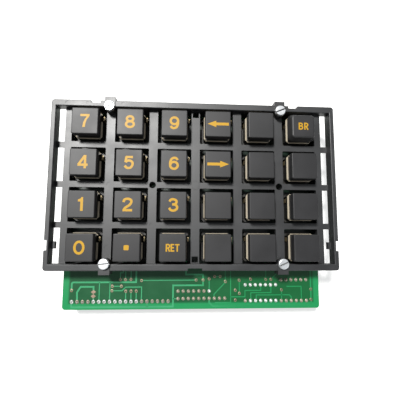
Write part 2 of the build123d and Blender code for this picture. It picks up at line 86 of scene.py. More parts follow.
# Legends, moulded flush into the caps.  Each glyph is a list of strokes in millimetres about its
# middle: "curve" runs smoothly through its points, "line" runs straight, "ring" is (x, y, half
# width, half height) and "shape" is an outline.  A 9 is a 6 turned half round.
GLYPHS = {
    "0": [("ring", (0, 0, 1.9, 2.5))],
    "1": [("shape", ((0.9, -3.05), (0.9, 3.05), (0.1, 3.05), (-0.2, 2.4), (-1.35, 2.0),
                     (-1.35, 1.1), (-0.25, 1.1), (-0.25, -3.05)))],
    "2": [("curve", ((-1.75, 1.0), (-1.4, 2.1), (0, 2.55), (1.45, 2.05), (1.65, 0.95),
                     (0.75, -0.35), (-0.9, -1.45), (-1.65, -2.55))),
          ("line", ((-2.1, -2.55), (2.1, -2.55)))],
    "3": [("curve", ((-1.7, 1.5), (-1.1, 2.35), (0.1, 2.55), (1.3, 2.0), (1.35, 0.95), (0.5, 0.3),
                     (-0.5, 0.25))),
          ("curve", ((-0.5, 0.25), (0.75, 0.15), (1.7, -0.65), (1.5, -1.85), (0.2, -2.55),
                     (-1.2, -2.2), (-1.8, -1.3)))],
    "4": [("line", ((0.95, -3.05), (0.95, 3.05))), ("line", ((-2.3, -1.4), (2.15, -1.4))),
          ("line", ((0.8, 2.7), (-1.95, -1.35)))],
    "5": [("line", ((1.8, 2.5), (-1.35, 2.5))), ("line", ((-1.1, 2.7), (-1.45, 0.1))),
          ("curve", ((-1.45, 0.1), (-0.6, 0.8), (0.6, 0.85), (1.6, 0.1), (1.65, -1.2), (0.7, -2.4),
                     (-0.7, -2.45), (-1.8, -1.5)))],
    "6": [("ring", (0.05, -0.95, 1.7, 1.6)),
          ("curve", ((-1.65, -1.0), (-1.6, 0.7), (-0.9, 2.1), (0.3, 2.55), (1.25, 2.2),
                     (1.65, 1.5)))],
    "7": [("shape", ((-2.05, 3.05), (2.05, 3.05), (2.05, 2.15), (0.95, 0.6), (0.4, -1.1),
                     (0.2, -3.05), (-1.0, -3.05), (-0.7, -1.0), (0.0, 0.7), (0.85, 1.95),
                     (-2.05, 1.95)))],
    "8": [("ring", (0, 1.4, 1.45, 1.15)), ("ring", (0, -1.2, 1.75, 1.35))],
    "B": [("line", ((-0.75, -1.7), (-0.75, 1.7))),
          ("curve", ((-0.75, 1.38), (0.2, 1.38), (0.72, 0.85), (0.3, 0.15), (-0.75, 0.08))),
          ("curve", ((-0.75, 0.08), (0.35, 0.02), (0.8, -0.65), (0.3, -1.38), (-0.75, -1.38)))],
    "E": [("line", ((-0.6, -1.7), (-0.6, 1.7))), ("line", ((-0.6, 1.38), (0.7, 1.38))),
          ("line", ((-0.6, 0.05), (0.55, 0.05))), ("line", ((-0.6, -1.38), (0.75, -1.38)))],
    "R": [("line", ((-0.7, -1.7), (-0.7, 1.7))),
          ("curve", ((-0.7, 1.38), (0.2, 1.38), (0.75, 0.75), (0.2, -0.1), (-0.7, -0.1))),
          ("line", ((0.05, -0.1), (0.75, -1.7)))],
    "T": [("line", ((-0.95, 1.38), (0.95, 1.38))), ("line", ((0, 1.38), (0, -1.7)))],
}
DIGIT_STROKE = 1.08
WORD_STROKE = 0.62
LETTER_PITCHES = {"RET": 2.05, "BR": 2.6}
CURVE_STEPS = 6
RING_STEPS = 40
STROKE_DROP = 0.002 * MM  # each stroke's face lies this far below the one before it
ARROW_LENGTH = 10.0 * MM
ARROW_SHAFT = 1.35 * MM
ARROW_HEAD_LENGTH = 4.1 * MM
ARROW_HEAD_WIDTH = 3.05 * MM
DOT_SIDE = 2.2 * MM
DOT_CORNER = 0.3 * MM
LEGEND_DEPTH = 0.2 * MM
LEGEND_PROUD = 0.015 * MM

# Keys: pitch along and across the rows, and how far the rows sit towards the front
KEY_PITCH_X = 20.32 * MM
KEY_PITCH_Y = 19.05 * MM
KEY_SHIFT_Y = 0.45 * MM

# Cream shell of a switch housing: from here outward, measured from the key's middle
SHELL_START_X = 5.5 * MM
SHELL_START_Y = 6.05 * MM
SHELL_DEPTH = 0.5 * MM
SHELL_BLUR = 0.1 * MM

# Return springs
SPRING_BOTTOM = 12.6 * MM
SPRING_TOP = 22.0 * MM
SPRING_RADIUS = 1.5 * MM
SPRING_WIRE = 0.22 * MM
SPRING_ACTIVE_TURNS = 6
SPRING_END_TURNS = 1.5  # closed turns at each end
SPRING_STEPS = 20  # points on each turn

# Pins through the board: (x, y) of the row's middle and how many pins
PIN_PITCH = 2.54 * MM
HEADER_ROW = (-35.3 * MM, -55.5 * MM, 19)
CHIP_ROWS = [(33.0 * MM, (-51.7 + side * 3.81) * MM, 7) for side in (-1, 1)]
NETWORK_ROWS = [(-0.1 * MM, -50.8 * MM, 7), (3.7 * MM, -54.3 * MM, 10)]
RESISTOR_ROWS = [(49.7 * MM, (-50.55 + side * 5.08) * MM, 6) for side in (-1, 1)]
CONTACT_TAILS = [(-5.75 * MM, 3.6 * MM), (6.6 * MM, 3.6 * MM)]  # from the key's middle

# Solder: the joints' pad radius and height, and how much longer they are across the board
TOP_JOINT = (0.8 * MM, 0.7 * MM)
UNDER_JOINT = (1.0 * MM, 1.2 * MM)
HEADER_STRETCH = 1.25
TOP_STRETCH = 1.1
UNDER_STRETCH = 1.15

# Copper on the board's upper face
TRACE_RISE = 0.045 * MM
NARROW = 0.45 * MM
WIDE = 0.8 * MM
WORN_COPPER_X = -10.0 * MM  # tracks and mask are duller left of here
FRESH_COPPER_X = 25.0 * MM  # and brighter right of here
TRACES = [
    (WIDE, [(-58.4, -50.2), (-58.4, -46.9), (-57.9, -46.4), (-28.0, -46.4), (-28.0, -36.0)]),
    (WIDE, [(-55.6, -55.5), (-55.8, -51.0), (-54.2, -48.5), (-48.1, -48.5), (-48.1, -51.0)]),
    (NARROW, [(-48.1, -53.0), (-48.1, -55.5)]),
    (NARROW, [(-45.4, -46.4), (-45.4, -55.5)]),
    (NARROW, [(-40.4, -46.4), (-40.4, -55.5)]),
    (NARROW, [(-35.6, -45.2), (-35.6, -41.9), (-34.3, -41.9), (-34.3, -36.0)]),
    (NARROW, [(-33.1, -45.2), (-33.1, -36.0)]),
    (NARROW, [(-30.5, -45.1), (-30.5, -36.0)]),
    (NARROW, [(-39.3, -48.3), (-35.0, -48.3)]),
    (NARROW, [(-39.4, -50.4), (-34.6, -50.4), (-32.9, -48.7), (-25.3, -48.7), (-25.3, -55.5)]),
    (NARROW, [(-32.8, -50.9), (-32.8, -55.5)]),
    (NARROW, [(-30.3, -50.9), (-30.3, -55.5)]),
    (NARROW, [(-27.8, -50.9), (-27.8, -55.5)]),
    (WIDE, [(-58.2, -55.5), (-58.2, -58.0), (-10.1, -58.0), (-10.1, -48.0), (4.5, -48.0),
            (4.5, -42.8), (-3.9, -42.8), (-3.9, -36.0)]),
    (NARROW, [(-10.1, -54.3), (-7.7, -54.3)]),
    (NARROW, [(-22.5, -55.5), (-22.5, -58.0)]),
    (NARROW, [(-25.4, -45.6), (1.1, -45.5)]),
    (NARROW, [(7.5, -45.0), (7.5, -50.8)]),
    (WIDE, [(7.5, -54.3), (7.5, -56.3), (9.3, -58.0), (58.4, -58.0), (58.4, -36.0)]),
    (NARROW, [(10.2, -43.8), (12.9, -43.8)]),
    (NARROW, [(15.5, -36.0), (15.5, -46.6), (9.9, -52.3), (9.9, -54.3)]),
    (NARROW, [(18.1, -36.0), (18.1, -56.3), (10.3, -56.3)]),
    (NARROW, [(22.4, -52.0), (22.4, -45.7)]),
    (NARROW, [(18.1, -53.6), (25.2, -53.6), (25.2, -50.6), (33.1, -50.6), (33.1, -47.9)]),
    (NARROW, [(28.1, -55.5), (28.1, -51.7), (38.2, -51.7), (38.2, -47.9)]),
    (NARROW, [(30.8, -55.5), (30.8, -52.8), (47.4, -52.8), (48.4, -53.8), (48.4, -55.5)]),
    (NARROW, [(46.1, -48.7), (53.5, -48.7), (53.5, -55.5)]),
    (NARROW, [(43.5, -50.4), (43.5, -55.5)]),
    (NARROW, [(35.7, -45.3), (35.7, -36.0)]),
    (NARROW, [(38.3, -45.3), (40.9, -42.7), (40.9, -40.4)]),
]
VIAS = [
    (-58.4, -50.2), (-35.6, -45.2), (-33.1, -45.2), (-30.5, -45.1), (-39.3, -48.3), (-35.0, -48.3),
    (-39.4, -50.4), (-32.8, -50.7), (-30.3, -50.7), (-27.8, -50.7), (-25.4, -45.6), (1.1, -45.5),
    (4.5, -45.5), (10.2, -43.8), (12.9, -43.8), (15.5, -46.3), (7.5, -45.0), (20.4, -50.5),
    (22.4, -52.0), (22.4, -45.7), (35.7, -45.3), (38.3, -45.3), (28.1, -45.2), (43.5, -50.4),
    (58.4, -50.1), (20.4, -55.2), (58.4, -55.2),
]
SHINY_JOINTS = [  # left, right, front and back of the groups that shine
    (-49.4, -26.6, -57.0, -54.0), (-59.0, -57.0, -57.0, -54.0), (5.9, 9.0, -52.2, -49.6),
    (27.0, 41.8, -57.0, -54.0), (24.0, 42.5, -49.2, -46.5), (19.4, 21.4, -56.2, -54.2),
]
DIAMOND_PADS = [(-48.1, -50.9), (-48.1, -52.9)]
DIAMOND_HALF = 1.25 * MM
VIA_HOLE = 0.28 * MM
VIA_RADIUS = 0.68 * MM
PAD_RISE = TRACE_RISE + 0.02 * MM

# Board's upper face under the lattice, darkened as painted shade, and its pale uncoppered border
SHADE_FRONT = (-38.5 * MM, -37.0 * MM)
SHADE_BACK = (37.0 * MM, 36.0 * MM)
BORDER_WIDTH = (3.6 * MM, 2.2 * MM)

# Camera and light
CAMERA_PLACE = (-5.93 * MM, -21.41 * MM, 161.74 * MM)
CAMERA_TURN = (5.82, -3.345, 0.335)  # degrees
CAMERA_LENS = 27.0
CAMERA_SENSOR = 36.0
WINDOW_PLACE = (-0.41, 0.545, 1.3)
WINDOW_SIZE = 0.24
WINDOW_POWER = 36.0
FILL_PLACE = (0.9, -0.7, 0.4)
FILL_SIZE = 0.9
FILL_POWER = 3.0
SURROUND_POWER = 0.3

# Floor, whose faint glow is painted light that lightens its shadows, except under and close around
# the module
FLOOR_HALF = 1.5
FLOOR_GAP = 0.05 * MM
FLOOR_GLOW = 0.56
GLOW_MIDDLE_Y = -11 * MM
GLOW_EDGE_X = (58 * MM, 64 * MM)
GLOW_EDGE_Y = (47 * MM, 52 * MM)


# Materials ------------------------------------------------------------------------------------


class Paint:
    """One procedural material, with short ways to add and link its nodes."""

    def __init__(self, name, **constants):
        self.material = bpy.data.materials.new(name)
        self.material.use_nodes = True
        self.tree = self.material.node_tree
        self.shader = self.tree.nodes["Principled BSDF"]
        self.place = self.tree.nodes.new("ShaderNodeTexCoord").outputs["Object"]
        for socket, value in constants.items():
            self.shader.inputs[socket.replace("_", " ")].default_value = value

    def node(self, kind, inputs, **settings):
        """A shader node with its settings, and each input either linked or set."""
        made = self.tree.nodes.new("ShaderNode" + kind)
        for setting, value in settings.items():
            setattr(made, setting, value)
        for socket, value in inputs.items():
            if isinstance(value, bpy.types.NodeSocket):
                self.tree.links.new(value, made.inputs[socket])
            else:
                made.inputs[socket].default_value = value
        return made

    def noise(self, scale, detail=2.0, place=None):
        """Noise from 0 to 1, with scale in features per metre."""
        inputs = {"Vector": place or self.place, "Scale": scale, "Detail": detail}
        return self.node("TexNoise", inputs).outputs["Fac"]

    def wave(self, scale, direction):
        """Parallel waves from 0 to 1 along one axis."""
        inputs = {"Vector": self.place, "Scale": scale, "Distortion": 0.4}
        return self.node("TexWave", inputs, bands_direction=direction).outputs["Fac"]

    def math(self, operation, *values):
        """Result of one arithmetic step."""
        return self.node("Math", dict(enumerate(values)), operation=operation).outputs[0]

    def step(self, value, low, high):
        """0 below low, 1 above high and smooth between."""
        inputs = {"Value": value, "From Min": low, "From Max": high}
        return self.node("MapRange", inputs, interpolation_type="SMOOTHSTEP").outputs["Result"]

    def span(self, value, low, high):
        """value from 0 to 1 stretched to the range from low to high."""
        inputs = {"Value": value, "To Min": low, "To Max": high}
        return self.node("MapRange", inputs).outputs["Result"]

    def mix(self, share, first, second):
        """Colour between first and second."""
        made = self.node("Mix", {0: share}, data_type="RGBA")
        for socket, colour in ((6, first), (7, second)):
            if isinstance(colour, bpy.types.NodeSocket):
                self.tree.links.new(colour, made.inputs[socket])
            else:
                made.inputs[socket].default_value = (*colour, 1)
        return made.outputs[2]

    def axes(self):
        """X, Y and Z of the surface point, in metres."""
        parts = self.node("SeparateXYZ", {"Vector": self.place}).outputs
        return parts["X"], parts["Y"], parts["Z"]

    def facing_up(self):
        """Z of the surface's direction."""
        geometry = self.node("NewGeometry", {})
        return self.node("SeparateXYZ", {"Vector": geometry.outputs["Normal"]}).outputs["Z"]

    def bump(self, height, distance, strength=1.0):
        """Relief from a height that runs from 0 to 1."""
        inputs = {"Height": height, "Distance": distance, "Strength": strength}
        made = self.node("Bump", inputs)
        self.use("Normal", made.outputs["Normal"])

    def use(self, socket, value):
        """Feeds one of the shader's inputs."""
        self.tree.links.new(value, self.shader.inputs[socket])


def moulded_plastic(name, dark, light, smooth, rough, grain=2600.0, relief=0.012 * MM,
                    edge=None, shine=0.5):
    """Moulded plastic: drifting colour, fine sparked grain and paler worn edges."""
    paint = Paint(name, Specular_IOR_Level=shine)
    drift = paint.step(paint.noise(70.0, 4.0), 0.3, 0.7)
    speckle = paint.noise(grain, 2.0)
    colour = paint.mix(drift, dark, light)
    if edge:
        up = paint.facing_up()
        leaning = paint.math("MULTIPLY", paint.step(up, 0.12, 0.35), paint.step(up, 0.985, 0.9))
        worn = paint.math("MULTIPLY", leaning, paint.span(paint.noise(420.0, 3.0), 0.35, 1.0))
        colour = paint.mix(worn, colour, edge)
    paint.use("Base Color", colour)
    uneven = paint.math("ADD", paint.math("MULTIPLY", drift, 0.6),
                        paint.math("MULTIPLY", speckle, 0.4))
    paint.use("Roughness", paint.span(uneven, smooth, rough))
    paint.bump(speckle, relief)
    return paint.material


def natural_nylon(name, pale, warm):
    """Slightly translucent natural nylon."""
    paint = Paint(name, Subsurface_Weight=0.12, Subsurface_Scale=0.5 * MM)
    drift = paint.noise(160.0, 3.0)
    paint.use("Base Color", paint.mix(drift, pale, warm))
    paint.use("Roughness", paint.span(paint.noise(900.0), 0.38, 0.55))
    paint.bump(paint.noise(1800.0), 0.01 * MM)
    return paint.material


def housing_material():
    """Black below a cream shell around the edge of its top, with a painted highlight that makes the
    shell's sides paler than its top.
    """
    paint = Paint("switch_housing_plastic")
    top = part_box("switch_housings")[1].z
    x, y, z = paint.axes()
    reach = []
    for value, offset, pitch, inner in ((x, 0, KEY_PITCH_X, SHELL_START_X),
                                        (y, KEY_SHIFT_Y, KEY_PITCH_Y, SHELL_START_Y)):
        place = paint.math("FRACT", paint.math("DIVIDE", paint.math("ADD", value, offset), pitch))
        share = paint.math("ABSOLUTE", paint.math("SUBTRACT", place, 0.5))
        reach.append(paint.math("SUBTRACT", paint.math("MULTIPLY", share, pitch), inner))
    rim = paint.step(paint.math("MAXIMUM", *reach), -SHELL_BLUR, SHELL_BLUR)
    level = paint.step(z, top - SHELL_DEPTH - SHELL_BLUR, top - SHELL_DEPTH)
    shell = paint.math("MULTIPLY", rim, level)
    drift = paint.noise(160.0, 3.0)
    cream = paint.mix(drift, (0.36, 0.32, 0.25), (0.27, 0.23, 0.17))
    # Painted highlight: the cream's sides are made paler than its top.
    cream = paint.mix(paint.step(paint.facing_up(), 0.8, 0.3), cream, (0.75, 0.66, 0.46))
    black = paint.mix(drift, (0.008, 0.008, 0.007), (0.016, 0.014, 0.011))
    paint.use("Base Color", paint.mix(shell, black, cream))
    paint.use("Roughness", paint.span(paint.noise(900.0), 0.42, 0.6))
    paint.bump(paint.noise(1800.0), 0.01 * MM)
    return paint.material


def plated_metal(name, bright, dull, smooth, rough, grain=1500.0):
    """Plated or drawn metal with a mottled finish."""
    paint = Paint(name, Metallic=1.0)
    mottle = paint.noise(grain, 3.0)
    paint.use("Base Color", paint.mix(mottle, bright, dull))
    paint.use("Roughness", paint.span(mottle, smooth, rough))
    paint.bump(mottle, 0.006 * MM)
    return paint.material


def screw_metal():
    """Zinc-plated heads with the rings that turning leaves, and painted shade darkening their
    slots.
    """
    paint = Paint("zinc_plated_steel", Metallic=0.85)
    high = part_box("frame_screws")[1]
    head = 2.4 * MM
    ring_pitch = 0.22 * MM
    x, y, z = paint.axes()
    away_x = paint.math("SUBTRACT", paint.math("ABSOLUTE", x), high.x - head)
    away_y = paint.math("SUBTRACT", paint.math("ABSOLUTE", y), high.y - head)
    away = paint.math("SQRT", paint.math("ADD", paint.math("MULTIPLY", away_x, away_x),
                                         paint.math("MULTIPLY", away_y, away_y)))
    rings = paint.math("SINE", paint.math("MULTIPLY", away, 2 * math.pi / ring_pitch))
    rings = paint.span(rings, 0.35, 0.65)
    mottle = paint.noise(900.0, 3.0)
    # Painted shade: the slot below the head's top is darkened.
    slot_shade = paint.math("MULTIPLY", paint.step(z, high.z - 0.1 * MM, high.z - 0.7 * MM),
                         paint.step(away, head, 0.95 * head))
    bright = paint.mix(mottle, (0.82, 0.84, 0.86), (0.68, 0.71, 0.74))
    paint.use("Base Color", paint.mix(slot_shade, bright, (0.25, 0.25, 0.25)))
    paint.use("Roughness", paint.span(mottle, 0.28, 0.5))
    paint.bump(rings, 0.008 * MM)
    return paint.material


def solder_mask():
    """Green mask over woven laminate, paler where no copper lies behind it, with painted shade
    under the lattice.
    """
    paint = Paint("solder_mask_laminate", Coat_Weight=0.15, Coat_Roughness=0.2)
    low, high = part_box("circuit_board")
    x, y, z = paint.axes()
    weave = paint.math("MULTIPLY", paint.wave(560.0, "X"), paint.wave(560.0, "Y"))
    cloud = paint.noise(110.0, 4.0)
    worn = paint.mix(cloud, (0.002, 0.045, 0.014), (0.004, 0.08, 0.024))
    worn = paint.mix(paint.math("MULTIPLY", weave, 0.35), worn, (0.008, 0.13, 0.045))
    fresh = paint.mix(cloud, (0.001, 0.075, 0.018), (0.002, 0.1, 0.026))
    mask = paint.mix(paint.step(x, WORN_COPPER_X, FRESH_COPPER_X), worn, fresh)
    from_side = paint.math("SUBTRACT", high.x, paint.math("ABSOLUTE", x))
    from_front = paint.math("SUBTRACT", y, low.y)
    border = paint.step(paint.math("MINIMUM", from_side, from_front), *BORDER_WIDTH)
    mask = paint.mix(border, mask, (0.007, 0.21, 0.065))
    # Painted shade: the upper face under the lattice is darkened to near black.
    shaded = paint.math("MULTIPLY", paint.step(y, *SHADE_FRONT), paint.step(y, *SHADE_BACK))
    shaded = paint.math("MULTIPLY", shaded, paint.step(z, high.z - 0.2 * MM, high.z))
    mask = paint.mix(shaded, mask, (0.002, 0.012, 0.006))
    side = paint.step(paint.math("ABSOLUTE", paint.facing_up()), 0.6, 0.4)
    laminate = paint.mix(paint.wave(900.0, "Z"), (0.12, 0.3, 0.12), (0.22, 0.36, 0.16))
    paint.use("Base Color", paint.mix(side, mask, laminate))
    paint.use("Roughness", paint.span(cloud, 0.26, 0.4))
    paint.bump(weave, 0.01 * MM)
    return paint.material


def masked_copper():
    """Copper under the green mask."""
    paint = Paint("copper_under_mask", Coat_Weight=0.15, Coat_Roughness=0.2)
    cloud = paint.noise(140.0, 4.0)
    worn = paint.mix(cloud, (0.026, 0.22, 0.09), (0.045, 0.31, 0.14))
    fresh = paint.mix(cloud, (0.006, 0.17, 0.05), (0.012, 0.24, 0.08))
    fresher = paint.step(paint.axes()[0], WORN_COPPER_X, FRESH_COPPER_X)
    paint.use("Base Color", paint.mix(fresher, worn, fresh))
    paint.use("Roughness", paint.span(paint.noise(700.0), 0.25, 0.4))
    paint.bump(paint.noise(500.0), 0.01 * MM)
    return paint.material


def solder():
    """Tin-lead joints: some bright, the others dull with flux."""
    paint = Paint("solder_joints", Metallic=0.7)
    x, y = paint.axes()[:2]
    shiny = 0.0
    for left, right, front, back in SHINY_JOINTS:
        inside = 1.0
        for value, low, high in ((x, left, right), (y, front, back)):
            for near, far in ((low, low + 0.1), (high, high - 0.1)):
                inside = paint.math("MULTIPLY", inside, paint.step(value, near * MM, far * MM))
        shiny = paint.math("MAXIMUM", shiny, inside)
    fine = paint.noise(1600.0, 2.0)
    patch = paint.noise(260.0, 1.0)
    dull = paint.mix(patch, (0.36, 0.31, 0.23), (0.55, 0.51, 0.43))
    bright = paint.mix(fine, (0.95, 0.97, 0.96), (0.85, 0.87, 0.86))
    paint.use("Base Color", paint.mix(shiny, dull, bright))
    paint.use("Roughness", paint.math("ADD", paint.span(shiny, 0.45, 0.3),
                                      paint.math("MULTIPLY", fine, 0.1)))
    paint.bump(fine, 0.015 * MM)
    return paint.material


def legend_plastic():
    """Second-shot orange-yellow plastic, a little rubbed."""
    paint = Paint("legend_plastic", Specular_IOR_Level=0.3)
    rub = paint.noise(520.0, 4.0)
    paint.use("Base Color", paint.mix(rub, (0.37, 0.2, 0.006), (0.45, 0.255, 0.01)))
    paint.use("Roughness", paint.span(rub, 0.4, 0.55))
    paint.bump(paint.noise(2600.0), 0.008 * MM)
    return paint.material


def metal_and_body(name, body_share, colour, rough, relief_scale=1500.0):
    """A leaded part: body_share(paint) is 1 on its body and 0 on its tinned leads.

    colour is the body's colour, or a function of the paint that gives it.
    """
    paint = Paint(name)
    share = body_share(paint)
    grain = paint.noise(relief_scale, 3.0)
    if callable(colour):
        body = colour(paint)
    else:
        body = paint.mix(grain, colour, [1.35 * part for part in colour])
    tin = paint.mix(grain, (0.8, 0.8, 0.77), (0.62, 0.62, 0.58))
    paint.use("Base Color", paint.mix(share, tin, body))
    paint.use("Metallic", paint.math("SUBTRACT", 1.0, share))
    paint.use("Roughness", paint.math("ADD", paint.span(share, 0.3, rough),
                                      paint.math("MULTIPLY", grain, 0.1)))
    paint.bump(grain, 0.012 * MM)
    return paint.material


def chip_material():
    """Black epoxy body and tinned legs."""
    low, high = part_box("logic_chip")
    middle = (low.y + high.y) / 2
    half_width = 3.2 * MM

    def body_share(paint):
        away = paint.math("ABSOLUTE", paint.math("SUBTRACT", paint.axes()[1], middle))
        return paint.step(away, half_width + 0.03 * MM, half_width + 0.01 * MM)

    return metal_and_body("moulded_epoxy", body_share, (0.022, 0.022, 0.024), 0.5)


def network_material():
    """Dipped brown coating and tinned legs."""
    board_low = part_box("circuit_board")[0]
    body_top = board_low.z - 0.8 * MM

    def body_share(paint):
        return paint.step(paint.axes()[2], body_top + 0.02 * MM, body_top)

    return metal_and_body("dipped_coating", body_share, (0.2, 0.055, 0.015), 0.25, 500.0)


def resistor_material():
    """Tan bodies with four painted bands, and tinned leads."""
    low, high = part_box("series_resistors")
    middle = (low.y + high.y) / 2
    half_body = 2.8 * MM
    bands = ((-1.9, (0.75, 0.5, 0.02)), (-1.1, (0.14, 0.04, 0.2)), (-0.3, (0.1, 0.03, 0.01)),
             (1.7, (0.6, 0.4, 0.1)))

    def body_share(paint):
        away = paint.math("ABSOLUTE", paint.math("SUBTRACT", paint.axes()[1], middle))
        return paint.step(away, half_body + 0.01 * MM, half_body - 0.01 * MM)

    def colour(paint):
        y = paint.axes()[1]
        body = paint.mix(paint.noise(400.0), (0.62, 0.47, 0.27), (0.7, 0.55, 0.35))
        for place, band_colour in bands:
            away = paint.math("ABSOLUTE", paint.math("SUBTRACT", y, middle + place * MM))
            body = paint.mix(paint.step(away, 0.26 * MM, 0.22 * MM), body, band_colour)
        return body

    return metal_and_body("painted_resistor", body_share, colour, 0.3)


def dress(node, material):
    """Gives a CAD node its material."""
    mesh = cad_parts[node].data
    mesh.materials.clear()
    mesh.materials.append(material)


# Mesh helpers ---------------------------------------------------------------------------------


def make_piece(name, mesh_maker, material, body, smooth=False):
    """A new mesh piece that rides on a body and takes its finish from a material slot."""
    mesh = bpy.data.meshes.new(name)
    shape = bmesh.new()
    mesh_maker(shape)
    bmesh.ops.recalc_face_normals(shape, faces=shape.faces)
    for face in shape.faces:
        face.smooth = smooth
    shape.to_mesh(mesh)
    shape.free()
    mesh.materials.append(material)
    piece = bpy.data.objects.new(name, mesh)
    bpy.context.scene.collection.objects.link(piece)
    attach(piece, body)
    return piece


def add_prism(shape, outline, bottom, top):
    """Closed prism over a flat outline of (x, y) points."""
    lower = [shape.verts.new((x, y, bottom)) for x, y in outline]
    upper = [shape.verts.new((x, y, top)) for x, y in outline]
    shape.faces.new(upper)
    shape.faces.new(lower[::-1])
    for index in range(len(outline)):
        after = (index + 1) % len(outline)
        shape.faces.new((lower[index], lower[after], upper[after], upper[index]))


def add_ribbon(shape, points, width, bottom, top):
    """Flat track of one width along a path, with mitred corners."""
    path = [Vector(point) for point in points]
    left = []
    right = []
    for index, here in enumerate(path):
        ahead = (path[index + 1] - here).normalized() if index + 1 < len(path) else None
        behind = (here - path[index - 1]).normalized() if index else None
        before = behind or ahead
        after = ahead or behind
        mean = (before + after).normalized()
        across = Vector((-mean.y, mean.x)) * (width / 2 / mean.dot(after))
        left.append(here + across)
        right.append(here - across)
    add_prism(shape, [tuple(point) for point in right + left[::-1]], bottom, top)


def add_lathe(shape, centre, profile, sides=16, stretch=1.0):
    """Turned shape about a vertical axis, from a profile of (radius, height).

    The profile closes the shape: it ends at radius 0, or where it began.
    """
    rings = []
    for radius, height in profile:
        if radius == 0:
            rings.append([shape.verts.new((centre[0], centre[1], height))])
            continue
        ring = []
        for number in range(sides):
            angle = 2 * math.pi * number / sides
            ring.append(shape.verts.new((centre[0] + radius * math.cos(angle),
                                         centre[1] + radius * stretch * math.sin(angle), height)))
        rings.append(ring)
    for first, second in zip(rings, rings[1:]):
        for number in range(sides):
            after = (number + 1) % sides
            corners = [first[number % len(first)], first[after % len(first)],
                       second[after % len(second)], second[number % len(second)]]
            shape.faces.new(list(dict.fromkeys(corners)))


def add_tube(shape, points, radius, sides=8):
    """Closed tube of round section along a path."""
    rings = []
    for index, here in enumerate(points):
        along = (points[min(index + 1, len(points) - 1)] - points[max(index - 1, 0)]).normalized()
        across = along.cross(Vector((0, 0, 1))).normalized()
        up = across.cross(along)
        ring = []
        for number in range(sides):
            angle = 2 * math.pi * number / sides
            outward = math.cos(angle) * across + math.sin(angle) * up
            ring.append(shape.verts.new(here + radius * outward))
        rings.append(ring)
    for first, second in zip(rings, rings[1:]):
        for number in range(sides):
            after = (number + 1) % sides
            shape.faces.new((first[number], first[after], second[after], second[number]))
    shape.faces.new(rings[0])
    shape.faces.new(rings[-1][::-1])


def pin_row(row):
    """Places of one row of pins."""
    middle, y, count = row
    return [(middle + (number - (count - 1) / 2) * PIN_PITCH, y) for number in range(count)]


def key_middle(key):
    """Centre of one key cap, and its top."""
    low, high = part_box(f"cap_{key}")
    return (low.x + high.x) / 2, (low.y + high.y) / 2, high.z


# Pieces ---------------------------------------------------------------------------------------


def smooth_path(points):
    """Catmull-Rom curve through the points."""
    ends = [Vector(point) for point in (points[0], *points, points[-1])]
    path = []
    for before, start, end, after in zip(ends, ends[1:], ends[2:], ends[3:]):
        for step in range(CURVE_STEPS):
            share = step / CURVE_STEPS
            path.append(0.5 * (2 * start + (end - before) * share
                               + (2 * before - 5 * start + 4 * end - after) * share ** 2
                               + (3 * start - before - 3 * end + after) * share ** 3))
    return path + [ends[-1]]


def add_ring(shape, middle, half_width, half_height, stroke, bottom, top):
    """Closed oval stroke."""
    loops = []
    for grow, level in ((0.5, bottom), (0.5, top), (-0.5, top), (-0.5, bottom)):
        reach_x = half_width + grow * stroke
        reach_y = half_height + grow * stroke
        loop = []
        for number in range(RING_STEPS):
            angle = 2 * math.pi * number / RING_STEPS
            loop.append(shape.verts.new((middle[0] + reach_x * math.cos(angle),
                                         middle[1] + reach_y * math.sin(angle), level)))
        loops.append(loop)
    for first, second in zip(loops, loops[1:] + loops[:1]):
        for number in range(RING_STEPS):
            after = (number + 1) % RING_STEPS
            shape.faces.new((first[number], first[after], second[after], second[number]))


def add_glyph(shape, glyph, place, stroke):
    """One moulded character, its face just proud of a cap's top."""
    x, y, top = place
    if glyph == "9":
        glyph, turn = "6", -MM
    else:
        turn = MM
    bottom = top + LEGEND_PROUD - LEGEND_DEPTH
    for number, (kind, data) in enumerate(GLYPHS[glyph]):
        face = top + LEGEND_PROUD - number * STROKE_DROP
        if kind == "ring":
            middle = (x + data[0] * turn, y + data[1] * turn)
            add_ring(shape, middle, data[2] * MM, data[3] * MM, stroke * MM, bottom, face)
            continue
        path = smooth_path(data) if kind == "curve" else data
        placed = [(x + point[0] * turn, y + point[1] * turn) for point in path]
        if kind == "shape":
            add_prism(shape, placed, bottom, face)
        else:
            add_ribbon(shape, placed, stroke * MM, bottom, face)


def add_arrow(shape, place, direction):
    """Arrow with a straight shaft, pointing along +X or -X."""
    x, y, top = place
    tip = ARROW_LENGTH / 2
    neck = tip - ARROW_HEAD_LENGTH
    outline = [
        (-tip, -ARROW_SHAFT / 2), (neck, -ARROW_SHAFT / 2), (neck, -ARROW_HEAD_WIDTH / 2), (tip, 0),
        (neck, ARROW_HEAD_WIDTH / 2), (neck, ARROW_SHAFT / 2), (-tip, ARROW_SHAFT / 2),
    ]
    placed = [(x + direction * along, y + across) for along, across in outline]
    add_prism(shape, placed, top + LEGEND_PROUD - LEGEND_DEPTH, top + LEGEND_PROUD)


def add_dot(shape, place):
    """Square decimal point with softened corners."""
    x, y, top = place
    half = DOT_SIDE / 2
    outline = []
    for side_x, side_y in ((1, 1), (-1, 1), (-1, -1), (1, -1)):
        ends = [(half, half - DOT_CORNER), (half - DOT_CORNER, half)]
        if side_x * side_y < 0:
            ends.reverse()
        outline += [(x + side_x * along, y + side_y * across) for along, across in ends]
    add_prism(shape, outline, top + LEGEND_PROUD - LEGEND_DEPTH, top + LEGEND_PROUD)


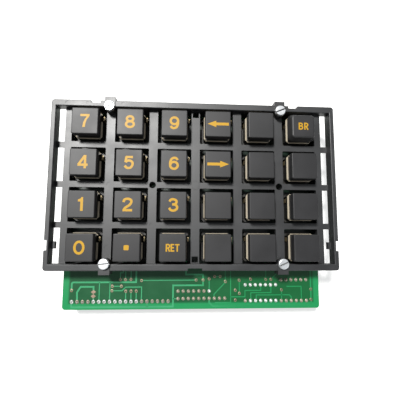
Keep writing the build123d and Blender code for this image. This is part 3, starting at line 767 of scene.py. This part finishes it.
def add_legend(shape, key):
    """Digit, word, arrow or point of one key."""
    x, y, top = key_middle(key)
    if key.endswith("arrow"):
        add_arrow(shape, (x, y, top), -1 if key == "left_arrow" else 1)
    elif key == "point":
        add_dot(shape, (x, y, top))
    else:
        text = LEGENDS[key]
        stroke = WORD_STROKE if len(text) > 1 else DIGIT_STROKE
        pitch = LETTER_PITCHES.get(text, 0) * MM
        start = x - pitch * (len(text) - 1) / 2
        for number, glyph in enumerate(text):
            add_glyph(shape, glyph, (start + number * pitch, y, top), stroke)


def make_legends(material):
    """One legend piece on each marked key."""
    for key in KEYS:
        if not key.startswith("blank"):
            make_piece(f"legend_{key}", lambda shape: add_legend(shape, key), material,
                       f"key_{key}")


def spring_path(x, y):
    """Centre line of one spring with closed turns at both ends."""
    bottom = SPRING_BOTTOM + SPRING_WIRE
    top = SPRING_TOP - SPRING_WIRE
    closed_rise = 2.1 * SPRING_WIRE * SPRING_END_TURNS
    active_rise = top - bottom - 2 * closed_rise
    turns = SPRING_ACTIVE_TURNS + 2 * SPRING_END_TURNS
    points = []
    for step in range(int(turns * SPRING_STEPS) + 1):
        turn = step / SPRING_STEPS
        low_turns = min(turn, SPRING_END_TURNS)
        active_turns = min(max(turn - SPRING_END_TURNS, 0), SPRING_ACTIVE_TURNS)
        high_turns = max(turn - SPRING_END_TURNS - SPRING_ACTIVE_TURNS, 0)
        height = (bottom + low_turns / SPRING_END_TURNS * closed_rise
                  + active_turns / SPRING_ACTIVE_TURNS * active_rise
                  + high_turns / SPRING_END_TURNS * closed_rise)
        angle = 2 * math.pi * turn
        points.append(Vector((x + SPRING_RADIUS * math.cos(angle),
                              y + SPRING_RADIUS * math.sin(angle), height)))
    return points


def make_springs(material):
    """One helical spring under each key."""
    for key in KEYS:
        x, y = key_middle(key)[:2]
        spring = make_piece(
            f"spring_{key}", lambda shape: add_tube(shape, spring_path(x, y), SPRING_WIRE),
            material, "module", smooth=True)
        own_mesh(spring)
        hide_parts("return_springs")


def joint_profile(base, upwards, pad, rise):
    """Pad and the concave cone of solder on it, as (radius, height)."""
    steps = [(0, 0), (1, 0), (1, 0.05 * MM), (0.7, 0.12 * MM), (0.52, 0.3 * MM),
             (0.44, 0.75 * rise), (0.3, rise), (0, rise)]
    return [(share * pad, base + upwards * height) for share, height in steps]


def make_solder(material):
    """Solder on the pins that come up through the board, and under it at the switch contacts."""
    low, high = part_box("circuit_board")

    def upper(shape):
        profile = joint_profile(high.z, 1, *TOP_JOINT)
        for row in [HEADER_ROW, *CHIP_ROWS, *NETWORK_ROWS, *RESISTOR_ROWS]:
            stretch = HEADER_STRETCH if row is HEADER_ROW else TOP_STRETCH
            for place in pin_row(row):
                add_lathe(shape, place, profile, stretch=stretch)

    def under(shape):
        profile = joint_profile(low.z, -1, *UNDER_JOINT)
        for key in KEYS:
            x, y = key_middle(key)[:2]
            for along, across in CONTACT_TAILS:
                add_lathe(shape, (x + along, y + across), profile, stretch=UNDER_STRETCH)

    make_piece("solder_joints_top", upper, material, "module", smooth=True)
    make_piece("solder_joints_under", under, material, "module", smooth=True)


def make_pads(material):
    """Tinned rings of the vias and the two diamond test pads."""
    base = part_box("circuit_board")[1].z
    shoulder = base + PAD_RISE
    crown = base + 1.5 * PAD_RISE
    ring = [(VIA_HOLE, base), (VIA_RADIUS, base), (VIA_RADIUS, shoulder), (0.6 * MM, crown),
            (0.34 * MM, crown), (VIA_HOLE, base)]

    def rings(shape):
        for x, y in VIAS:
            add_lathe(shape, (x * MM, y * MM), ring, stretch=TOP_STRETCH)
        for x, y in DIAMOND_PADS:
            corners = ((1, 0), (0, 0.8), (-1, 0), (0, -0.8))
            outline = [(x * MM + along * DIAMOND_HALF, y * MM + across * DIAMOND_HALF)
                       for along, across in corners]
            add_prism(shape, outline, base, shoulder)

    make_piece("tinned_pads", rings, material, "module")


def make_traces(material):
    """Copper tracks that show through the mask on the upper face."""
    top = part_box("circuit_board")[1].z

    def tracks(shape):
        for width, points in TRACES:
            add_ribbon(shape, [(x * MM, y * MM) for x, y in points], width, top, top + TRACE_RISE)

    make_piece("copper_tracks_top", tracks, material, "module")


# Surroundings ---------------------------------------------------------------------------------


def make_floor():
    """Plain pale surface that the module stands on, glowing as painted light away from the module.
    """
    corners = [(side_x * FLOOR_HALF, side_y * FLOOR_HALF, 0)
               for side_x, side_y in ((-1, -1), (1, -1), (1, 1), (-1, 1))]
    mesh = bpy.data.meshes.new("floor")
    mesh.from_pydata(corners, [], [(0, 1, 2, 3)])
    paint = Paint("pale_floor", Roughness=0.7, Emission_Color=(1, 1, 1, 1))
    x, y = paint.axes()[:2]
    # Painted light: the floor glows away from the module, which lightens the shadows on it.
    from_middle = paint.math("ABSOLUTE", paint.math("ADD", y, -GLOW_MIDDLE_Y))
    clear = paint.math("MAXIMUM", paint.step(paint.math("ABSOLUTE", x), *GLOW_EDGE_X),
                       paint.step(from_middle, *GLOW_EDGE_Y))
    paint.use("Emission Strength", paint.math("MULTIPLY", clear, FLOOR_GLOW))
    cloud = paint.noise(9.0, 3.0)
    paint.use("Base Color", paint.mix(cloud, (0.6, 0.6, 0.595), (0.66, 0.66, 0.655)))
    mesh.materials.append(paint.material)
    floor = bpy.data.objects.new("floor", mesh)
    floor.location.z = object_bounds()[0][2] - FLOOR_GAP
    bpy.context.scene.collection.objects.link(floor)


def add_area_light(name, place, size, power, colour=(1, 1, 1)):
    """Soft square light aimed at the module."""
    lamp = bpy.data.lights.new(name, "AREA")
    lamp.shape = "SQUARE"
    lamp.size = size
    lamp.energy = power
    lamp.color = colour
    light = bpy.data.objects.new(name, lamp)
    light.location = place
    light.rotation_euler = Vector(place).to_track_quat("Z", "Y").to_euler()
    bpy.context.scene.collection.objects.link(light)


def make_studio():
    """Soft light from the upper left, a weaker fill, and a pale surround."""
    add_area_light("window_light", WINDOW_PLACE, WINDOW_SIZE, WINDOW_POWER, (1.0, 0.99, 0.97))
    add_area_light("fill_light", FILL_PLACE, FILL_SIZE, FILL_POWER)
    world = bpy.data.worlds.new("surround")
    world.use_nodes = True
    surround = world.node_tree.nodes["Background"].inputs
    surround["Color"].default_value = (0.93, 0.96, 1.0, 1)
    surround["Strength"].default_value = SURROUND_POWER
    bpy.context.scene.world = world


def make_camera():
    """Camera nearly overhead, a little in front of the middle."""
    lens = bpy.data.cameras.new("camera")
    lens.sensor_width = CAMERA_SENSOR
    lens.lens = CAMERA_LENS
    lens.clip_start = 0.005
    camera = bpy.data.objects.new("camera", lens)
    camera.location = CAMERA_PLACE
    camera.rotation_euler = [math.radians(turn) for turn in CAMERA_TURN]
    bpy.context.scene.collection.objects.link(camera)
    bpy.context.scene.camera = camera


# Assembly -------------------------------------------------------------------------------------

cap_finish = moulded_plastic("cap_plastic", (0.0075, 0.0075, 0.0085), (0.012, 0.012, 0.0135),
                             0.47, 0.56, edge=(0.02, 0.02, 0.02))
plunger_finish = natural_nylon("plunger_nylon", (0.72, 0.66, 0.52), (0.6, 0.52, 0.38))
for key in KEYS:
    dress(f"cap_{key}", cap_finish)
    dress(f"plunger_{key}", plunger_finish)
dress("key_frame", moulded_plastic(
    "frame_plastic", (0.009, 0.0095, 0.0105), (0.015, 0.016, 0.018), 0.41, 0.55,
    grain=1900.0, relief=0.02 * MM, edge=(0.03, 0.031, 0.034), shine=0.75))
dress("switch_housings", housing_material())
dress("circuit_board", solder_mask())
dress("frame_screws", screw_metal())
dress("board_spacers", plated_metal(
    "nickel_plate", (0.72, 0.7, 0.66), (0.58, 0.56, 0.52), 0.25, 0.4))
dress("switch_contacts", plated_metal(
    "contact_brass", (0.52, 0.43, 0.27), (0.34, 0.27, 0.16), 0.45, 0.65))
dress("connector_body", moulded_plastic(
    "connector_plastic", (0.018, 0.018, 0.018), (0.03, 0.03, 0.03), 0.45, 0.6))
dress("connector_pins", plated_metal(
    "tinned_pins", (0.8, 0.8, 0.77), (0.66, 0.66, 0.62), 0.22, 0.38))
dress("logic_chip", chip_material())
dress("resistor_networks", network_material())
dress("series_resistors", resistor_material())

make_legends(legend_plastic())
make_springs(plated_metal("spring_wire", (0.66, 0.66, 0.65), (0.5, 0.5, 0.5), 0.25, 0.4))
make_solder(solder())
make_pads(plated_metal("dull_tinned_copper", (0.27, 0.18, 0.13), (0.42, 0.33, 0.26), 0.4, 0.55))
make_traces(masked_copper())

make_floor()
make_studio()
make_camera()
bpy.context.scene.view_settings.view_transform = "Standard"
bpy.context.scene.cycles.use_denoising = True
